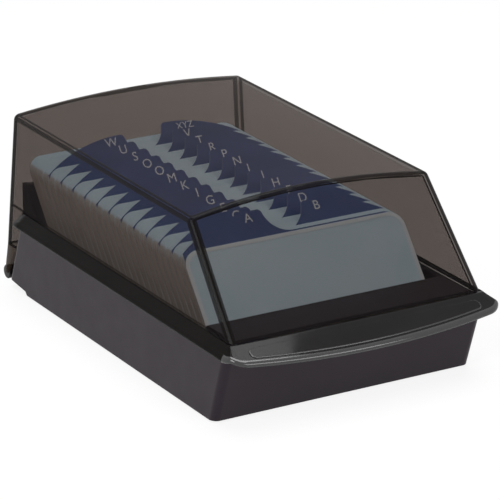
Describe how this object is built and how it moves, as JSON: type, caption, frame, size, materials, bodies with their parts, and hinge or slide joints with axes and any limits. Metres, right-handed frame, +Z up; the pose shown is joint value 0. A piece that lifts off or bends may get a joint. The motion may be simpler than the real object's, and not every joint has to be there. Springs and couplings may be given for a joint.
{
  "type": "covered card file",
  "caption": "Desk card file: a low black tray with a leaning row of slotted clear sleeves and lettered index guides on two rails, under a hinged smoked see-through lid with a grip lip.",
  "frame": {"origin": "middle of the whole object's box, on the table under the feet, lid closed", "axes": "+X to the right seen from the front, +Y from the grip lip to the rear, +Z up"},
  "size_m": [0.125, 0.207, 0.0791],
  "materials": {
    "base_black": "satin moulded",
    "foot_rubber": "matt",
    "pin_steel": "drawn",
    "lid_smoke": "clear smoked gloss",
    "sleeve_clear": "translucent with card inside",
    "guide_navy": "satin"
  },
  "bodies": {
    "base": {"base_tray": "base_black", "front_shelf": "base_black", "rail_left": "base_black", "rail_right": "base_black", "backrest": "base_black", "feet": "foot_rubber", "hinge_pin_left": "pin_steel", "hinge_pin_right": "pin_steel"},
    "lid": {"lid": "lid_smoke"},
    "section_a": {"guide_a": "guide_navy", "sleeves_a": "sleeve_clear"},
    "section_b": {"guide_b": "guide_navy", "sleeves_b": "sleeve_clear"},
    "section_c": {"guide_c": "guide_navy", "sleeves_c": "sleeve_clear"},
    "section_d": {"guide_d": "guide_navy", "sleeves_d": "sleeve_clear"},
    "section_e": {"guide_e": "guide_navy", "sleeves_e": "sleeve_clear"},
    "section_f": {"guide_f": "guide_navy", "sleeves_f": "sleeve_clear"},
    "section_g": {"guide_g": "guide_navy", "sleeves_g": "sleeve_clear"},
    "section_h": {"guide_h": "guide_navy", "sleeves_h": "sleeve_clear"},
    "section_i": {"guide_i": "guide_navy", "sleeves_i": "sleeve_clear"},
    "section_j": {"guide_j": "guide_navy", "sleeves_j": "sleeve_clear"},
    "section_k": {"guide_k": "guide_navy", "sleeves_k": "sleeve_clear"},
    "section_l": {"guide_l": "guide_navy", "sleeves_l": "sleeve_clear"},
    "section_m": {"guide_m": "guide_navy", "sleeves_m": "sleeve_clear"},
    "section_n": {"guide_n": "guide_navy", "sleeves_n": "sleeve_clear"},
    "section_o": {"guide_o": "guide_navy", "sleeves_o": "sleeve_clear"},
    "section_p": {"guide_p": "guide_navy", "sleeves_p": "sleeve_clear"},
    "section_q": {"guide_q": "guide_navy", "sleeves_q": "sleeve_clear"},
    "section_r": {"guide_r": "guide_navy", "sleeves_r": "sleeve_clear"},
    "section_s": {"guide_s": "guide_navy", "sleeves_s": "sleeve_clear"},
    "section_t": {"guide_t": "guide_navy", "sleeves_t": "sleeve_clear"},
    "section_u": {"guide_u": "guide_navy", "sleeves_u": "sleeve_clear"},
    "section_v": {"guide_v": "guide_navy", "sleeves_v": "sleeve_clear"},
    "section_w": {"guide_w": "guide_navy", "sleeves_w": "sleeve_clear"},
    "section_xyz": {"guide_xyz": "guide_navy", "sleeves_xyz": "sleeve_clear"},
    "section_spare": {"sleeves_spare": "sleeve_clear"}
  },
  "joints": [
    {"name": "lid_hinge", "type": "hinge", "parent": "base", "child": "lid", "pos_m": [0, 0.1005, 0.0046], "axis": [-1, 0, 0], "range_deg": [0, 95]},
    {"name": "tilt_a", "type": "hinge", "parent": "base", "child": "section_a", "pos_m": [0, -0.0677, 0.0154], "axis": [1, 0, 0], "range_deg": [0, 13.4]},
    {"name": "tilt_b", "type": "hinge", "parent": "base", "child": "section_b", "pos_m": [0, -0.06243, 0.0154], "axis": [1, 0, 0], "range_deg": [0, 13.38]},
    {"name": "tilt_c", "type": "hinge", "parent": "base", "child": "section_c", "pos_m": [0, -0.05716, 0.0154], "axis": [1, 0, 0], "range_deg": [0, 13.37]},
    {"name": "tilt_d", "type": "hinge", "parent": "base", "child": "section_d", "pos_m": [0, -0.05189, 0.0154], "axis": [1, 0, 0], "range_deg": [0, 13.35]},
    {"name": "tilt_e", "type": "hinge", "parent": "base", "child": "section_e", "pos_m": [0, -0.04662, 0.0154], "axis": [1, 0, 0], "range_deg": [0, 13.33]},
    {"name": "tilt_f", "type": "hinge", "parent": "base", "child": "section_f", "pos_m": [0, -0.04135, 0.0154], "axis": [1, 0, 0], "range_deg": [0, 13.31]},
    {"name": "tilt_g", "type": "hinge", "parent": "base", "child": "section_g", "pos_m": [0, -0.03608, 0.0154], "axis": [1, 0, 0], "range_deg": [0, 13.3]},
    {"name": "tilt_h", "type": "hinge", "parent": "base", "child": "section_h", "pos_m": [0, -0.03081, 0.0154], "axis": [1, 0, 0], "range_deg": [0, 13.28]},
    {"name": "tilt_i", "type": "hinge", "parent": "base", "child": "section_i", "pos_m": [0, -0.02554, 0.0154], "axis": [1, 0, 0], "range_deg": [0, 13.26]},
    {"name": "tilt_j", "type": "hinge", "parent": "base", "child": "section_j", "pos_m": [0, -0.02027, 0.0154], "axis": [1, 0, 0], "range_deg": [0, 13.24]},
    {"name": "tilt_k", "type": "hinge", "parent": "base", "child": "section_k", "pos_m": [0, -0.015, 0.0154], "axis": [1, 0, 0], "range_deg": [0, 13.23]},
    {"name": "tilt_l", "type": "hinge", "parent": "base", "child": "section_l", "pos_m": [0, -0.00974, 0.0154], "axis": [1, 0, 0], "range_deg": [0, 13.21]},
    {"name": "tilt_m", "type": "hinge", "parent": "base", "child": "section_m", "pos_m": [0, -0.00447, 0.0154], "axis": [1, 0, 0], "range_deg": [0, 13.19]},
    {"name": "tilt_n", "type": "hinge", "parent": "base", "child": "section_n", "pos_m": [0, 0.0008, 0.0154], "axis": [1, 0, 0], "range_deg": [0, 13.18]},
    {"name": "tilt_o", "type": "hinge", "parent": "base", "child": "section_o", "pos_m": [0, 0.00607, 0.0154], "axis": [1, 0, 0], "range_deg": [0, 13.16]},
    {"name": "tilt_p", "type": "hinge", "parent": "base", "child": "section_p", "pos_m": [0, 0.01134, 0.0154], "axis": [1, 0, 0], "range_deg": [0, 13.14]},
    {"name": "tilt_q", "type": "hinge", "parent": "base", "child": "section_q", "pos_m": [0, 0.01661, 0.0154], "axis": [1, 0, 0], "range_deg": [0, 13.12]},
    {"name": "tilt_r", "type": "hinge", "parent": "base", "child": "section_r", "pos_m": [0, 0.02188, 0.0154], "axis": [1, 0, 0], "range_deg": [0, 13.11]},
    {"name": "tilt_s", "type": "hinge", "parent": "base", "child": "section_s", "pos_m": [0, 0.02715, 0.0154], "axis": [1, 0, 0], "range_deg": [0, 13.09]},
    {"name": "tilt_t", "type": "hinge", "parent": "base", "child": "section_t", "pos_m": [0, 0.03242, 0.0154], "axis": [1, 0, 0], "range_deg": [0, 13.07]},
    {"name": "tilt_u", "type": "hinge", "parent": "base", "child": "section_u", "pos_m": [0, 0.03769, 0.0154], "axis": [1, 0, 0], "range_deg": [0, 13.05]},
    {"name": "tilt_v", "type": "hinge", "parent": "base", "child": "section_v", "pos_m": [0, 0.04296, 0.0154], "axis": [1, 0, 0], "range_deg": [0, 13.04]},
    {"name": "tilt_w", "type": "hinge", "parent": "base", "child": "section_w", "pos_m": [0, 0.04823, 0.0154], "axis": [1, 0, 0], "range_deg": [0, 13.02]},
    {"name": "tilt_xyz", "type": "hinge", "parent": "base", "child": "section_xyz", "pos_m": [0, 0.0535, 0.0154], "axis": [1, 0, 0], "range_deg": [0, 13]},
    {"name": "tilt_spare", "type": "hinge", "parent": "base", "child": "section_spare", "pos_m": [0, 0.05993, 0.0154], "axis": [1, 0, 0], "range_deg": [0, 12.98]}
  ],
  "couplings": [
    {"joint": "tilt_b", "follows": "tilt_a", "ratio": 0.9987},
    {"joint": "tilt_c", "follows": "tilt_a", "ratio": 0.9974},
    {"joint": "tilt_d", "follows": "tilt_a", "ratio": 0.99611},
    {"joint": "tilt_e", "follows": "tilt_a", "ratio": 0.99481},
    {"joint": "tilt_f", "follows": "tilt_a", "ratio": 0.99351},
    {"joint": "tilt_g", "follows": "tilt_a", "ratio": 0.99221},
    {"joint": "tilt_h", "follows": "tilt_a", "ratio": 0.99091},
    {"joint": "tilt_i", "follows": "tilt_a", "ratio": 0.98962},
    {"joint": "tilt_j", "follows": "tilt_a", "ratio": 0.98832},
    {"joint": "tilt_k", "follows": "tilt_a", "ratio": 0.98702},
    {"joint": "tilt_l", "follows": "tilt_a", "ratio": 0.98572},
    {"joint": "tilt_m", "follows": "tilt_a", "ratio": 0.98443},
    {"joint": "tilt_n", "follows": "tilt_a", "ratio": 0.98313},
    {"joint": "tilt_o", "follows": "tilt_a", "ratio": 0.98183},
    {"joint": "tilt_p", "follows": "tilt_a", "ratio": 0.98053},
    {"joint": "tilt_q", "follows": "tilt_a", "ratio": 0.97923},
    {"joint": "tilt_r", "follows": "tilt_a", "ratio": 0.97794},
    {"joint": "tilt_s", "follows": "tilt_a", "ratio": 0.97664},
    {"joint": "tilt_t", "follows": "tilt_a", "ratio": 0.97534},
    {"joint": "tilt_u", "follows": "tilt_a", "ratio": 0.97404},
    {"joint": "tilt_v", "follows": "tilt_a", "ratio": 0.97274},
    {"joint": "tilt_w", "follows": "tilt_a", "ratio": 0.97145},
    {"joint": "tilt_xyz", "follows": "tilt_a", "ratio": 0.97015},
    {"joint": "tilt_spare", "follows": "tilt_a", "ratio": 0.96885}
  ]
}
